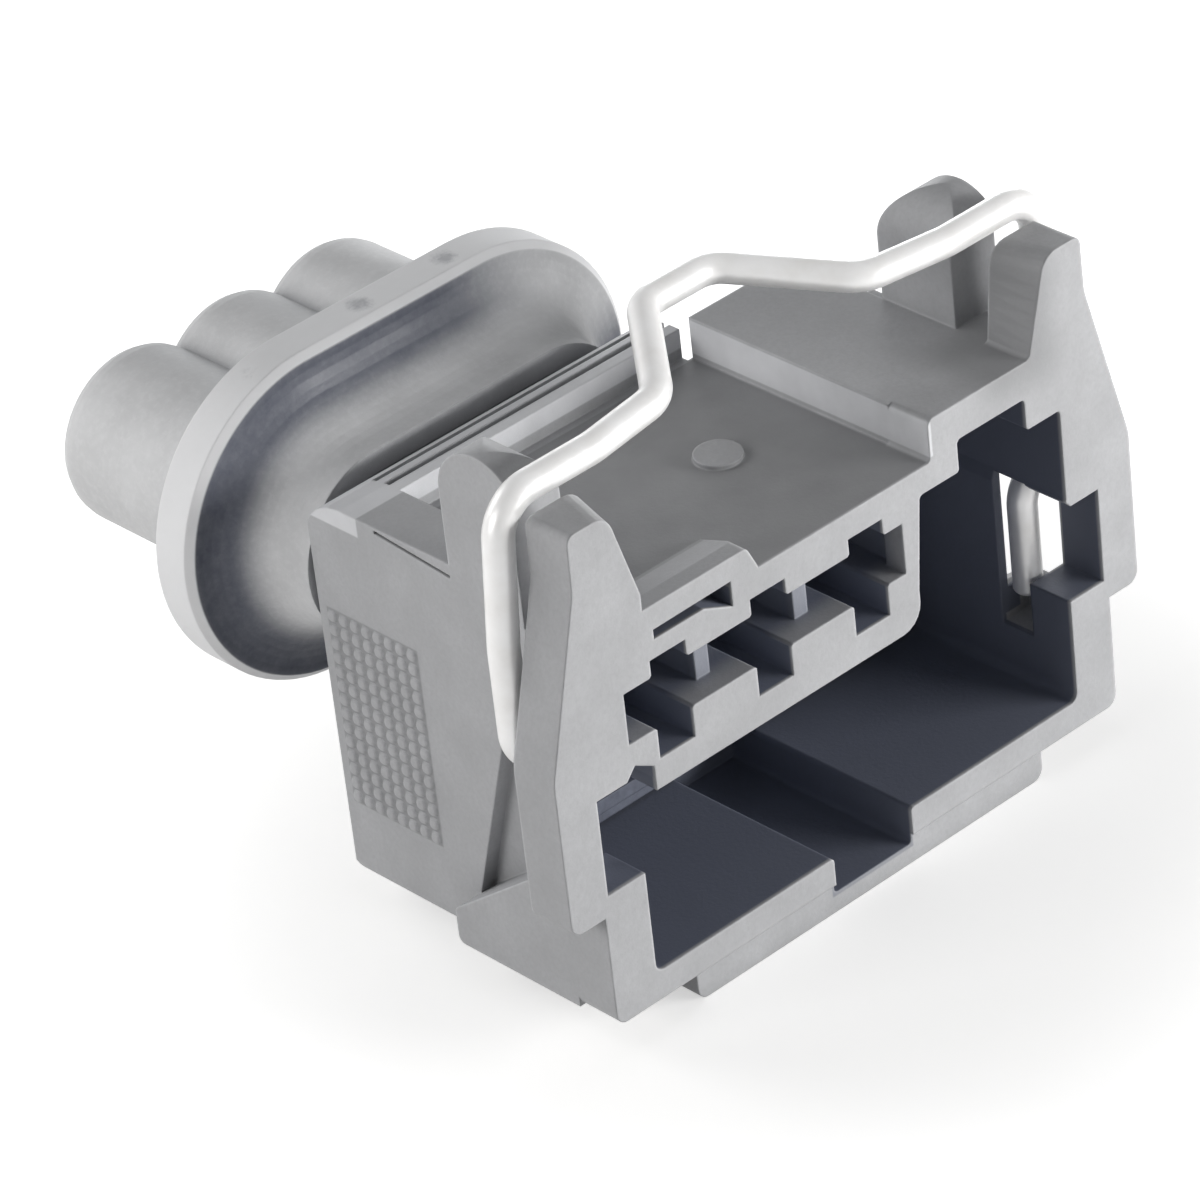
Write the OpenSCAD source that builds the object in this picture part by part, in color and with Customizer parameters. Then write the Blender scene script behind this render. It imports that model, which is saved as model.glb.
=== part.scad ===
// Three-way sealed plug with blade receptacles, a spring wire clip and a rubber boot.
// X runs across the plug, Y runs back from the mating face to the cable end, Z runs up.
// The plug stands on the pad under its body. The origin is the middle of that pad.

/* [Terminals] */
// Distance between neighbouring terminals
pitch = 5; // [4.8:0.1:5.4]
// Number of terminals in the row
ways = 3; // [3:1:3]
// Place of the row's middle across the plug
row_x = -4; // [-4.2:0.1:-3.8]
// Height of the terminals' centre line above the body's underside
row_z = 12.275; // [12.2:0.025:12.4]
// Width of a terminal chamber
chamber_w = 4.3; // [4.1:0.1:4.4]
// Height of a terminal chamber
chamber_h = 2.15; // [2.1:0.05:2.3]
// Width of the keyways over and under each chamber
keyway_w = 1.75; // [1.5:0.05:1.9]
// Height of the upper keyway
keyway_up = 0.7; // [0.5:0.05:0.75]
// Height of the lower keyway
keyway_down = 1.3; // [1:0.05:1.5]
// Length of the keyways, front to back
keyway_len = 8.2; // [7.8:0.1:8.6]
// Depth of the ledge that runs in front of the chambers
ledge_depth = 1.1; // [0.8:0.1:1.5]
// Thickness of the rib that closes the ledge beside the cavity
side_rib = 0.6; // [0.5:0.05:0.7]
// Bore of the round passages behind the chambers
passage_d = 2.9; // [2.7:0.1:3]

/* [Front frame] */
// How far the frame's foot stands out from the shell's side
foot_over = 1; // [0.9:0.05:1.2]
// Thickness of the frame, front to back
frame_t = 2.1; // [1.8:0.1:2.4]
// How far the lugs stand out from the shell's side
lug_over = 2.6; // [2.3:0.05:2.9]
// Height of the underside of the lugs
lug_low = 4.8; // [4.6:0.1:5.2]
// Height of the knee above the lugs
lug_high = 11.4; // [10.8:0.1:12]
// How far the ears' tips stand out from the shell's side
ear_over = 0.7; // [0.6:0.05:0.9]
// Height at which the ears stop leaning in
ear_knee = 18.4; // [18:0.1:19]
// Height of the ears
ear_h = 20.75; // [20.6:0.05:21.4]
// Width of each ear at its tip, on the front face
ear_tip = 1.9; // [1.6:0.1:2.2]
// Width of each ear at its tip, on the rear face
ear_tip_back = 2.6; // [2:0.1:2.8]
// Length of the wedge foot on each side
foot_len = 8.5; // [7.8:0.1:9]
// Height of the wedge foot at its rear end
foot_low = 1.5; // [1.2:0.1:1.8]
// Length of the flat on top of the wedge foot
foot_flat = 4.1; // [4:0.1:4.4]

/* [Shell] */
// Width of the shell behind the frame
shell_w = 24.6; // [24.4:0.1:25]
// Thickness of the shell's side walls
wall_t = 1.1; // [1:0.05:1.15]
// Thickness of the shell's wall behind the cavity
back_t = 0.9; // [0.8:0.05:1]
// Length of the shell, front to back
shell_len = 12.4; // [12:0.1:12.8]
// Height of the low roof
low_roof = 15.15; // [15.05:0.05:15.4]
// Height of the high roof
high_roof = 16.9; // [16.7:0.1:17.2]
// Place of the step between the roofs
step_x = 4.55; // [4.3:0.05:4.8]
// Distance between the inner faces of the two guide posts
post_gap = 19.9; // [19.6:0.1:20.2]
// Length of a guide post, front to back
post_len = 3.8; // [3.6:0.05:4]
// Height of the guide posts
post_h = 21.7; // [21.6:0.1:22.4]
// Radius of the guide posts' tops, seen from the side
post_r = 2.15; // [2:0.05:2.3]
// Radius of the guide posts' inner shoulders
shoulder_r = 1.9; // [1.5:0.1:2]
// Width of the slot that the wire runs in
slot_w = 1.6; // [1.55:0.05:1.75]
// Height of the coding rib on the low roof
rib_h = 1.05; // [0.9:0.05:1.2]
// Length of the coding rib, front to back
rib_len = 3; // [2.7:0.1:3.4]
// Width of the coding rib
rib_w = 5.15; // [4.8:0.05:5.4]
// Width of the slit under the coding rib
slit_w = 3.85; // [3.5:0.05:4.1]
// How far the slit drops at its right end
slit_drop = 0.6; // [0.4:0.05:0.6]
// Height of the pad under the body
pad_h = 1.3; // [1.1:0.1:1.6]
// Width of the pad under the body
pad_w = 18.4; // [17:0.2:20]
// Length of the pad under the body
pad_len = 12.2; // [11.8:0.1:12.2]
// Length of the pad's tongue under the cable-end housing
pad_tongue = 2.6; // [2.2:0.1:3]

/* [Mating cavity] */
// Depth of the cavity
cavity_depth = 9.6; // [9:0.1:10]
// Thickness of the floor
floor_t = 1.2; // [1.1:0.1:1.4]
// Height of the underside of the terminal block
block_low = 8.7; // [8.5:0.1:9]
// Place of the terminal block's free side
block_x = 3.45; // [3.3:0.05:3.7]
// Height of the ceiling beside the terminal block
ceiling = 14.05; // [13.9:0.05:14.2]
// Thickness of the high roof
high_roof_t = 1.5; // [1.3:0.1:1.7]
// Width of the key groove in the floor
key_w = 4.1; // [3.7:0.1:4.6]
// Depth of the key groove in the floor
key_depth = 1.65; // [1.4:0.05:1.8]
// Depth of the side grooves in the cavity's walls
side_groove = 1.85; // [1.7:0.05:1.9]
// Height of the side grooves' lower edge
groove_low = 5.65; // [5.5:0.05:5.9]
// Height of the side grooves' upper edge
groove_high = 9.75; // [9.5:0.05:9.9]

/* [Cable end] */
// Distance from the mating face to the cable-end housing's back
tail_back = 15.7; // [15.4:0.1:16]
// Height of the cable-end housing
tail_h = 16.4; // [16.3:0.1:16.7]
// Radius of the cable-end housing's upper rear edge
tail_r = 2.3; // [1.8:0.1:2.6]
// Length of the spigot that carries the boot
spigot_len = 2.8; // [2.4:0.1:3.2]
// Radius of the spigot's round ends
spigot_r = 2.75; // [2.7:0.05:2.85]

/* [Boot] */
// Wall of the boot's neck
neck_wall = 1; // [0.8:0.05:1.1]
// Distance from the cable-end housing to the flange
neck_len = 3.4; // [3:0.1:3.8]
// Radius of the flange's round ends
flange_r = 6.85; // [6.4:0.05:7]
// Distance between the centres of the flange's round ends
flange_span = 8.7; // [8.5:0.1:9.2]
// Thickness of the flange's rim
flange_t = 2.3; // [2:0.1:2.6]
// Radius of a wire outlet's outside
outlet_r = 3.6; // [3.4:0.05:3.8]
// Length of the wire outlets behind the flange
outlet_len = 8.9; // [8:0.1:10]
// Bore of a wire outlet at its tip
outlet_bore = 2.2; // [1.8:0.1:2.6]
// Length of the tight bore at a wire outlet's tip
outlet_lip = 1.8; // [1.4:0.1:2.4]

/* [Wire clip] */
// Thickness of the spring wire
wire_d = 1.2; // [1.1:0.05:1.25]
// Height of the bar between the ears
bar_z = 21.35; // [21.3:0.05:21.6]
// Gap between the wire's upper corners and the shell's side
corner_gap = 0.6; // [0.55:0.05:0.7]
// How far the bow of the legs lies inside the lugs' width
bow_inside = 0.3; // [0.2:0.05:0.35]
// Height of the bow of the legs
bow_z = 11.5; // [11.3:0.1:11.7]
// Height above which the wire's sides lean inwards
lean_z = 15.6; // [15:0.1:16]
// Height at which the legs turn down
toe_z = 9; // [8.8:0.1:9.1]
// Height of the legs' ends
toe_end = 4.7; // [4.5:0.05:4.8]
// How far the loop reaches back
loop_reach = 4.9; // [4.4:0.1:5.2]
// Half the width of the loop's end
loop_half = 1.7; // [1.4:0.1:2]
// Half the width of the loop's mouth
loop_mouth = 5.2; // [5:0.1:5.6]
// Upward tilt of the loop, in degrees
loop_tilt = 8; // [5:0.5:10]
// How far the clip presses down
clip_travel = 1.2; // [1:0.1:1.3]

/* [Contacts] */
// Width of a contact's box
box_w = 3.4; // [3.3:0.05:3.45]
// Height of a contact's box
box_h = 1.5; // [1.4:0.05:1.55]
// Length of a contact's box
box_len = 7; // [6.6:0.1:7.4]
// Thickness of a contact's sheet
sheet_t = 0.3; // [0.25:0.05:0.35]
// Thickness of the outer spring's sheet
spring_t = 0.2; // [0.15:0.05:0.2]
// How far the spring's locking tongues stand out
tongue_out = 0.55; // [0.4:0.05:0.6]
// Distance from the mating face to a contact's front edge
contact_front = 3.2; // [3:0.1:3.6]
// Length of a contact's neck and crimps
crimp_len = 7.2; // [6.6:0.1:7.4]

/* [Face seal] */
// Thickness of the face seal
seal_t = 1.2; // [1:0.1:1.4]
// Width of the face seal's band
seal_w = 1.8; // [1.5:0.1:2]

/* [Clearances] */
// Gap around the face seal
seal_gap = 0.15; // [0.1:0.05:0.2]
// Gap between the boot and what it sits on
boot_gap = 0.1; // [0.05:0.05:0.15]
// Gap between a contact's box and its outer spring
sleeve_gap = 0.02; // [0.01:0.01:0.03]
// Gap between a wire end and the pocket that holds it
toe_gap = 0.2; // [0.15:0.05:0.25]
// Gap between a wire end and the cavity in front of the wall it runs behind
toe_inset = 0.1; // [0.1:0.05:0.15]

/* [Hidden] */
$fn = 48;
cut = 1;                                  // how far a cutter reaches past a face
arc_steps = 5;                            // flats in a rounded corner
pad_front = 0.15;
pad_mid = pad_front + pad_len / 2;
post_front = frame_t + slot_w;
post_back = post_front + post_len;
wire_y = frame_t + slot_w / 2;
wire_r = wire_d / 2;
side_x = shell_w / 2;
side_wall_x = side_x - wall_t;
pocket_x = side_wall_x + 0.4;             // floor of the recess beside the wire's toes
foot_x = side_x + foot_over;
lug_x = side_x + lug_over;
ear_x = side_x + ear_over;
corner_x = side_x + corner_gap + wire_r;
bow_x = lug_x - bow_inside - wire_r;
toe_x = side_wall_x + toe_inset + wire_r;
inner_x = post_gap / 2;
tail_left = -side_x;
tail_right = 2 * row_x + side_x;
high_ceiling = high_roof - high_roof_t;
chamber_low = row_z - chamber_h / 2;
chamber_high = row_z + chamber_h / 2;
chamber_back = shell_len - 0.4;
spigot_back = tail_back + spigot_len;
neck_front = tail_back + 2 * boot_gap;
neck_in_r = spigot_r + boot_gap;
neck_r = neck_in_r + neck_wall;
flange_front = tail_back + neck_len;
flange_back = flange_front + flange_t;
outlet_back = flange_back + outlet_len;
loop_mouth_y = 0.5;                       // how far back the loop's mouth starts
block_lean = 0.4;                         // how far the block's side leans out up to the ceiling

// ---- Outlines ------------------------------------------------------------------

function unit(v) = v / norm(v);

// Points of one corner at b between a and c, rounded to radius r, in the plane or in space
function corner(a, b, c, r) =
    r == 0 ? [b] :
    let (u = unit(a - b), v = unit(c - b), half = acos(u * v) / 2,
         middle = b + unit(u + v) * r / sin(half),
         from = unit(b + u * r / tan(half) - middle), to = unit(b + v * r / tan(half) - middle),
         sweep = 180 - 2 * half)
    [for (i = [0 : arc_steps]) let (t = i / arc_steps)
        middle + r * (sin(sweep * (1 - t)) * from + sin(sweep * t) * to) / sin(sweep)];

// A closed outline from points [x, y, corner radius]
function rounded(p) =
    let (n = len(p), xy = [for (q = p) [q.x, q.y]])
    [for (i = [0 : n - 1]) each corner(xy[(i + n - 1) % n], xy[i], xy[(i + 1) % n], p[i].z)];

// Points on the left side from those on the right, in the opposite order
function mirrored(p) = [for (i = [len(p) - 1 : -1 : 0]) [-p[i].x, p[i].y, p[i].z]];

// Puts the model's origin at the middle of the pad's underside
module placed() translate([0, -pad_mid, pad_h]) children();

// Extrudes an XZ outline from y0 back to y1
module along_y(y0, y1) translate([0, y1, 0]) rotate([90, 0, 0]) linear_extrude(y1 - y0) children();

// Extrudes a YZ outline from x0 to x1
module along_x(x0, x1) translate([x0, 0, 0]) rotate([90, 0, 90]) linear_extrude(x1 - x0) children();

module block(x, y, z) translate([x[0], y[0], z[0]]) cube([x[1] - x[0], y[1] - y[0], z[1] - z[0]]);

module both_sides() { children(); mirror([1, 0, 0]) children(); }

// Puts a piece on the centre line of terminal i, with its own Z running back along Y
module at_way(i, y) translate([row_x + (i - (ways - 1) / 2) * pitch, y, row_z])
    rotate([-90, 0, 0]) children();

// A flat oval of two half circles and the straight between them
module oval(r, span) {
    for (s = [-1, 1]) translate([s * span / 2, 0]) circle(r);
    square([span, 2 * r], center = true);
}

// Carries a profile of [distance, depth] points round an oval, with depth along Z
module oval_turned(profile, span) {
    for (s = [0, 1]) rotate([0, 0, s * 180]) translate([span / 2, 0, 0])
        rotate([0, 0, -90]) rotate_extrude(angle = 180) polygon(profile);
    rotate([90, 0, 90]) translate([0, 0, -span / 2]) linear_extrude(span) {
        polygon(profile);
        mirror([1, 0]) polygon(profile);
    }
}

// ---- Housing -------------------------------------------------------------------

// Right half of the frame's outline, from the foot to the ear's inner face
frame_right = [[foot_x, 0, 0.5], [foot_x, lug_low, 0], [lug_x, lug_low, 0.5], [lug_x, lug_high, 2],
               [ear_x + 0.05, ear_knee, 2], [ear_x, ear_h, 0.35], [ear_x - ear_tip, ear_h, 0.9]];

module front_frame() along_y(0, frame_t) polygon(rounded(concat(
    frame_right,
    [[inner_x, high_roof, 0.3], [step_x, high_roof, 0.3], [step_x, low_roof, 0.2], [-inner_x, low_roof, 0]],
    mirrored(frame_right))));

// Inner edge of an ear of tip width w, from the roof up and over its rounded tip, as [x, z]
function ear_edge(w) =
    let (foot = [inner_x, high_roof], tip = [ear_x - w, ear_h],
         over = corner(foot, tip, [ear_x, ear_h], 0.9))
    concat([for (i = [0 : 5]) foot + (over[0] - foot) * i / 6], over);

// Inner half of an ear, which widens from its front face to its rear face
module ear_inside() {
    low = high_roof - 1;
    side = ear_x - 0.7;
    shape = [for (w = [ear_tip, ear_tip_back])
        concat([[side, low], [inner_x, low]], ear_edge(w), [[side, ear_h]])];
    n = len(shape[0]);
    points = [for (j = [0, 1]) for (q = shape[j]) [q.x, j * frame_t, q.y]];
    skin = [for (i = [0 : n - 1]) let (k = (i + 1) % n) each [[i, n + k, k], [i, n + i, n + k]]];
    polyhedron(points, concat([[for (i = [0 : n - 1]) i], [for (i = [n - 1 : -1 : 0]) n + i]], skin));
}

// Coding rib: a ramp up to the front face with a sloping end
module coding_rib() {
    rib_top = low_roof + rib_h;
    right = rib_w - inner_x;
    intersection() {
        along_y(0, rib_len) polygon(rounded([[-inner_x - 0.4, low_roof - 0.4, 0],
            [right + 0.5, low_roof - 0.4, 0], [right + 0.5, low_roof, 0], [right, rib_top, 0.3],
            [-inner_x - 0.4, rib_top, 0]]));
        along_x(-side_x, side_x) polygon([[0, low_roof - 0.4], [rib_len, low_roof - 0.4],
            [rib_len, low_roof], [rib_len / 4, rib_top], [0, rib_top]]);
    }
}

module shell() {
    block([-side_x, side_x], [frame_t - 0.1, cavity_depth + back_t], [0, low_roof]);
    block([step_x, side_x], [frame_t - 0.1, post_back], [0, high_roof]);
    block([step_x, inner_x], [frame_t - 0.1, shell_len], [0, high_roof]);
    block([-side_x, inner_x], [frame_t - 0.1, shell_len], [0, low_roof]);
}

// Guide posts behind the wire, rounded over their tops and over their inner shoulders
module post() intersection() {
    along_x(inner_x, side_x) intersection() {
        translate([post_front, 0]) square([post_len, post_h]);
        union() {
            translate([0, 0]) square([2 * post_back, post_h - post_r]);
            translate([post_back - post_r, post_h - post_r]) circle(post_r);
        }
    }
    along_y(post_front - cut, post_back + cut) union() {
        translate([inner_x, 0]) square([side_x, post_h - shoulder_r]);
        translate([inner_x + shoulder_r, post_h - shoulder_r]) circle(shoulder_r);
        translate([inner_x + shoulder_r, 0]) square([side_x, post_h]);
    }
}

// Wedge foot that carries the frame's side back along the shell
module foot() along_x(side_x - 0.2, foot_x) polygon(rounded([
    [frame_t - 0.1, 0, 0], [foot_len, 0, 0.3], [foot_len, foot_low, 0.3],
    [foot_flat, lug_low - 0.1, 0.2], [frame_t - 0.1, lug_low - 0.1, 0]]));

// Cable-end housing: a box with a round upper rear edge and ribs across its top
module tail() {
    rim_y = shell_len + 0.3;
    difference() {
        along_x(tail_left, tail_right) polygon(rounded([
            [post_front, 0, 0], [tail_back, 0, 0.8], [tail_back, tail_h, tail_r], [post_front, tail_h, 0]]));
        block([-inner_x, step_x + cut], [0, rim_y], [low_roof, tail_h + cut]);
        for (y = [rim_y + 0.55, rim_y + 1.25])
            block([-inner_x, tail_right + cut], [y, y + 0.3], [tail_h - 0.45, tail_h + cut]);
        for (x = [tail_left, tail_right])
            translate([x, tail_back, 0]) rotate([0, 0, 45]) cube([0.5, 0.5, 3 * tail_h], center = true);
        translate([tail_left, rim_y, tail_h - 0.08]) rotate([5, 0, 0]) translate([0, -rim_y / 2 + 1, 0])
            cube([0.4, rim_y / 2 + 2, 0.14], center = true);
    }
}

module spigot() translate([row_x, tail_back - 0.1, row_z]) rotate([-90, 0, 0])
    linear_extrude(spigot_len + 0.1) oval(spigot_r, flange_span);

module pad() {
    half = pad_w / 2;
    back = pad_front + pad_len;
    along_y(pad_front, back) polygon(rounded([
        [-half, 0.1, 0], [-half, -pad_h, 0.5], [half, -pad_h, 0.5], [half, 0.1, 0]]));
    block([-half, 2 * row_x + half], [back - 1, back + pad_tongue], [-pad_h, 0.1]);
}

// L-shaped mating cavity with its key groove and coding corners
module mating_cavity() {
    a = side_wall_x;
    along_y(-cut, cavity_depth) polygon(rounded([
        [-a, floor_t, 0.4], [-key_w / 2, floor_t, 0.15], [-key_w / 2, floor_t - key_depth, 0.2],
        [key_w / 2, floor_t - key_depth, 0.2], [key_w / 2, floor_t, 0.15], [a, floor_t, 0.4],
        [a, groove_high - 0.1, 0], [a + 0.15, groove_high + 0.4, 0], [a + 0.15, ceiling, 0.2],
        [a - 1.65, ceiling, 0.15], [a - 1.65, high_ceiling, 0.2],
        [step_x + 1.4, high_ceiling, 0.2], [step_x + 1.4, ceiling, 0.15], [block_x + block_lean, ceiling, 0.2],
        [block_x, chamber_low - 1, 0], [block_x, block_low, 1], [-a, block_low, 0.2]]));
}

// Side grooves, the windows behind them and the pockets for the wire's toes
module wire_windows() both_sides() {
    a = side_wall_x;
    along_y(-cut, frame_t) polygon([[a - cut, groove_low], [a + side_groove, groove_low],
        [a + side_groove, groove_high], [a + 0.35, groove_high], [a - 0.1, groove_high + 0.5],
        [a - cut, groove_high]]);
    block([a - cut, 2 * lug_x], [frame_t, post_front], [lug_low, groove_high + 0.3]);
    block([pocket_x, 2 * lug_x], [frame_t, post_front], [groove_high - 0.1, lug_high]);
    block([a - cut, toe_x + wire_r + toe_gap], [wire_y - wire_r - toe_gap, wire_y + wire_r + toe_gap],
          [toe_end - clip_travel - toe_gap, lug_low + 0.1]);
    along_x(pocket_x, 2 * lug_x) polygon([[frame_t, lug_low - 0.1], [foot_flat, lug_low - 0.1],
        [foot_len - 0.4, foot_low + 0.3], [post_back - 2, groove_high + 0.5], [post_front - 0.1, lug_high]]);
}

// Ledge, chambers, keyways and passages of the terminals
module terminal_openings() {
    row_half = (ways - 1) / 2 * pitch;
    block([row_x - row_half - chamber_w / 2 - 0.1, block_x - side_rib], [-cut, ledge_depth],
          [chamber_low, chamber_high]);
    for (i = [0 : ways - 1]) at_way(i, 0) {
        translate([-chamber_w / 2, -chamber_h / 2, ledge_depth - 0.1])
            cube([chamber_w, chamber_h, chamber_back - ledge_depth + 0.1]);
        translate([-keyway_w / 2, -chamber_h / 2 - keyway_up, -cut])
            cube([keyway_w, keyway_up + 0.1, keyway_len + cut]);
        translate([-keyway_w / 2, chamber_h / 2 - 0.1, -cut])
            cube([keyway_w, keyway_down + 0.1, keyway_len + cut]);
        cylinder(h = spigot_back + cut, d = passage_d);
    }
}

// Slit under the coding rib
module rib_slit() {
    left = 0.4 - inner_x;
    right = left + slit_w;
    low = chamber_high + keyway_up + 0.75;
    along_y(-cut, rib_len / 2) polygon([[left, low], [right - 1.4, low], [right, low - slit_drop],
        [right, low_roof + 0.1], [left, low_roof + 0.05]]);
}

module housing() color([0.62, 0.63, 0.65]) placed() difference() {
    union() {
        front_frame();
        shell();
        coding_rib();
        both_sides() {
            ear_inside();
            post();
            foot();
        }
        tail();
        spigot();
        pad();
        translate([0.1, 6.5, low_roof - 0.1]) cylinder(h = 0.3, d = 1.9);
    }
    mating_cavity();
    wire_windows();
    terminal_openings();
    rib_slit();
}

// ---- Wire clip -----------------------------------------------------------------

// Right half of the wire's centre line as [point, bend radius], from the toe up to the loop's end
wire_right = let (y = wire_y, c = cos(loop_tilt), s = sin(loop_tilt), m = loop_mouth_y) [
    [[toe_x, y, toe_end], 0],
    [[toe_x, y, toe_end + wire_r / 2], 0],
    [[toe_x, y, toe_z], 1.4],
    [[bow_x, y, bow_z], 1.4],
    [[bow_x, y, lean_z], 6],
    [[corner_x, y, bar_z], 1.6],
    [[inner_x - 1, y, bar_z], 4],
    [[loop_mouth, y + m * c, bar_z + m * s], 1.8],
    [[loop_half, y + loop_reach * c, bar_z + loop_reach * s], 1.4]];

// The whole centre line, from the right toe to the left one
wire_points = concat(wire_right, [for (i = [len(wire_right) - 1 : -1 : 0])
    [[-wire_right[i][0].x, wire_right[i][0].y, wire_right[i][0].z], wire_right[i][1]]]);
wire_line = let (n = len(wire_points)) [for (i = [0 : n - 1])
    each corner(wire_points[max(i - 1, 0)][0], wire_points[i][0],
                wire_points[min(i + 1, n - 1)][0], wire_points[i][1])];

// A round wire swept along a line of points, with chamfered ends
module swept_wire(line, r) {
    sides = 20;
    n = len(line);
    tilt = [0, cos(40), sin(40)];
    rings = [for (i = [0 : n - 1])
        let (way = unit(line[min(i + 1, n - 1)] - line[max(i - 1, 0)]), u = unit(cross(way, tilt)),
             v = cross(way, u), q = i == 0 || i == n - 1 ? 0.6 * r : r)
        for (k = [0 : sides - 1]) line[i] + q * (u * cos(360 * k / sides) + v * sin(360 * k / sides))];
    skin = [for (i = [0 : n - 2]) for (k = [0 : sides - 1])
        let (a = i * sides + k, b = i * sides + (k + 1) % sides)
        each [[a, b, b + sides], [a, b + sides, a + sides]]];
    first = [for (k = [sides - 1 : -1 : 0]) k];
    last = [for (k = [0 : sides - 1]) (n - 1) * sides + k];
    polyhedron(rings, concat(skin, [first], [last]), convexity = 6);
}

module wire_clip() color([0.9, 0.9, 0.88]) placed() swept_wire(wire_line, wire_r);

// ---- Boot ----------------------------------------------------------------------

// Half section of the boot's neck, flared front and flange rim
boot_section = let (d = flange_front - neck_front, sweep = flange_r - 0.3 - neck_r,
    flare = [for (i = [0 : 12]) let (t = i * 7.5)
        [neck_r + sweep * (1 - cos(t)), d * (0.15 + 0.85 * sin(t))]])
    concat([[0, 0], [neck_r, 0]], flare,
        [[flange_r, d + 0.3], [flange_r, d + flange_t - 0.4], [flange_r - 0.4, d + flange_t],
         [0, d + flange_t]]);

module wire_outlet() {
    back = outlet_len + 0.1;
    rotate_extrude() polygon(rounded([[0, 0, 0], [outlet_r, 0, 0], [outlet_r, back, 1.2], [0, back, 0]]));
}

module boot() color([0.6, 0.61, 0.63]) placed() difference() {
    union() {
        translate([row_x, neck_front, row_z]) rotate([-90, 0, 0]) oval_turned(boot_section, flange_span);
        for (i = [0 : ways - 1]) at_way(i, flange_back - 0.1) wire_outlet();
    }
    translate([row_x, neck_front - cut, row_z]) rotate([-90, 0, 0])
        linear_extrude(spigot_back + 0.6 - neck_front + cut) oval(neck_in_r, flange_span);
    for (i = [0 : ways - 1]) {
        at_way(i, spigot_back) cylinder(h = outlet_back - outlet_lip - spigot_back, d = passage_d);
        at_way(i, spigot_back) cylinder(h = outlet_len + 10, d = outlet_bore);
    }
}

// ---- Face seal -----------------------------------------------------------------

// L-shaped outline of the cavity's back wall, drawn in by a gap
function seal_outline(gap) =
    let (a = side_wall_x - gap, low = floor_t + gap, x = block_x + block_lean + gap)
    rounded([[-a, low, 0.3], [a, low, 0.3], [a, ceiling - gap, 0.3], [x, ceiling - gap, 0.3],
             [x, block_low - gap, 0.3], [-a, block_low - gap, 0.3]]);

module face_seal() color([0.16, 0.17, 0.2]) placed() {
    along_y(cavity_depth - seal_t, cavity_depth) difference() {
        polygon(seal_outline(seal_gap));
        polygon(seal_outline(seal_gap + seal_w));
    }
    along_y(cavity_depth - seal_t - 0.3, cavity_depth - seal_t) difference() {
        polygon(seal_outline(seal_gap + seal_w / 3));
        polygon(seal_outline(seal_gap + seal_w * 2 / 3));
    }
}

// ---- Contacts ------------------------------------------------------------------

// An open crimp barrel: a half-round trough with two straight wings
module crimp(r, wing, len) linear_extrude(len) {
    difference() {
        circle(r);
        circle(r - sheet_t);
        translate([-r, -r]) square([2 * r, r]);
    }
    for (s = [-1, 1]) translate([s * (r - sheet_t / 2) - sheet_t / 2, -wing]) square([sheet_t, wing]);
}

module contact(i) color([0.78, 0.77, 0.72]) placed() at_way(i, contact_front) {
    barrel_r = box_h / 2 + 0.3;
    floor_y = box_h / 2 - sheet_t;
    linear_extrude(box_len) difference() {
        square([box_w, box_h], center = true);
        square([box_w - 2 * sheet_t, box_h - 2 * sheet_t], center = true);
    }
    translate([-1, floor_y, box_len - 0.1]) cube([2, sheet_t, 0.15 * crimp_len + 0.1]);
    translate([-0.6, floor_y, box_len]) cube([1.2, sheet_t, crimp_len]);
    translate([0, floor_y + sheet_t - barrel_r, box_len + 0.15 * crimp_len])
        crimp(barrel_r, 0.4, 0.33 * crimp_len);
    translate([0, floor_y + sheet_t - barrel_r, box_len + 0.6 * crimp_len])
        crimp(barrel_r, 0.1, 0.4 * crimp_len);
}

// Steel sleeve round the contact's box, with a locking tongue above and below
module contact_spring(i) color([0.55, 0.56, 0.58]) placed() at_way(i, contact_front + 0.3) {
    in_w = box_w + 2 * sleeve_gap;
    in_h = box_h + 2 * sleeve_gap;
    out_h = in_h + 2 * spring_t;
    difference() {
        translate([-in_w / 2 - spring_t, -out_h / 2, 0]) cube([in_w + 2 * spring_t, out_h, box_len - 0.6]);
        translate([-in_w / 2, -in_h / 2, -cut]) cube([in_w, in_h, box_len + 2 * cut]);
    }
    root = out_h / 2 - 0.05;
    tip = out_h / 2 + tongue_out;
    for (s = [-1, 1]) along_x(-0.6, 0.6) polygon([[s * root, 0.2 * box_len], [s * root, 0.27 * box_len],
        [s * (tip - spring_t), 0.66 * box_len], [s * tip, 0.66 * box_len]]);
}

module contact_1() contact(0);
module contact_2() contact(1);
module contact_3() contact(2);
module contact_spring_1() contact_spring(0);
module contact_spring_2() contact_spring(1);
module contact_spring_3() contact_spring(2);

housing();
wire_clip();
boot();
face_seal();
contact_1();
contact_2();
contact_3();
contact_spring_1();
contact_spring_2();
contact_spring_3();
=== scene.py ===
"""A sealed three-way plug with a spring wire clip and a cable boot, dressed over its CAD frame."""
import math

import bpy
import numpy as np
from bpy.props import FloatProperty, FloatVectorProperty, PointerProperty
from mathutils import Matrix, Vector


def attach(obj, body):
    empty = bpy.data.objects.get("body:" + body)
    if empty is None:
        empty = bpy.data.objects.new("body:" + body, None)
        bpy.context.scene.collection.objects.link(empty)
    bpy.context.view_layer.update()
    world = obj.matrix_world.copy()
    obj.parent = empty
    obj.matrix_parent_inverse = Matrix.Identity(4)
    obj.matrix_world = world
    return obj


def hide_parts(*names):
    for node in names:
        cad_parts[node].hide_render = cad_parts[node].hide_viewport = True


bl_info = {
    "name": "Sealed Wire-Clip Plug",
    "version": (1, 0, 0),
    "blender": (4, 5, 0),
    "location": "View3D > Sidebar > Plug",
    "description": "Dresses a sealed three-way plug with its plastic, rubber, wire and studio",
    "category": "Add Mesh",
}

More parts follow.
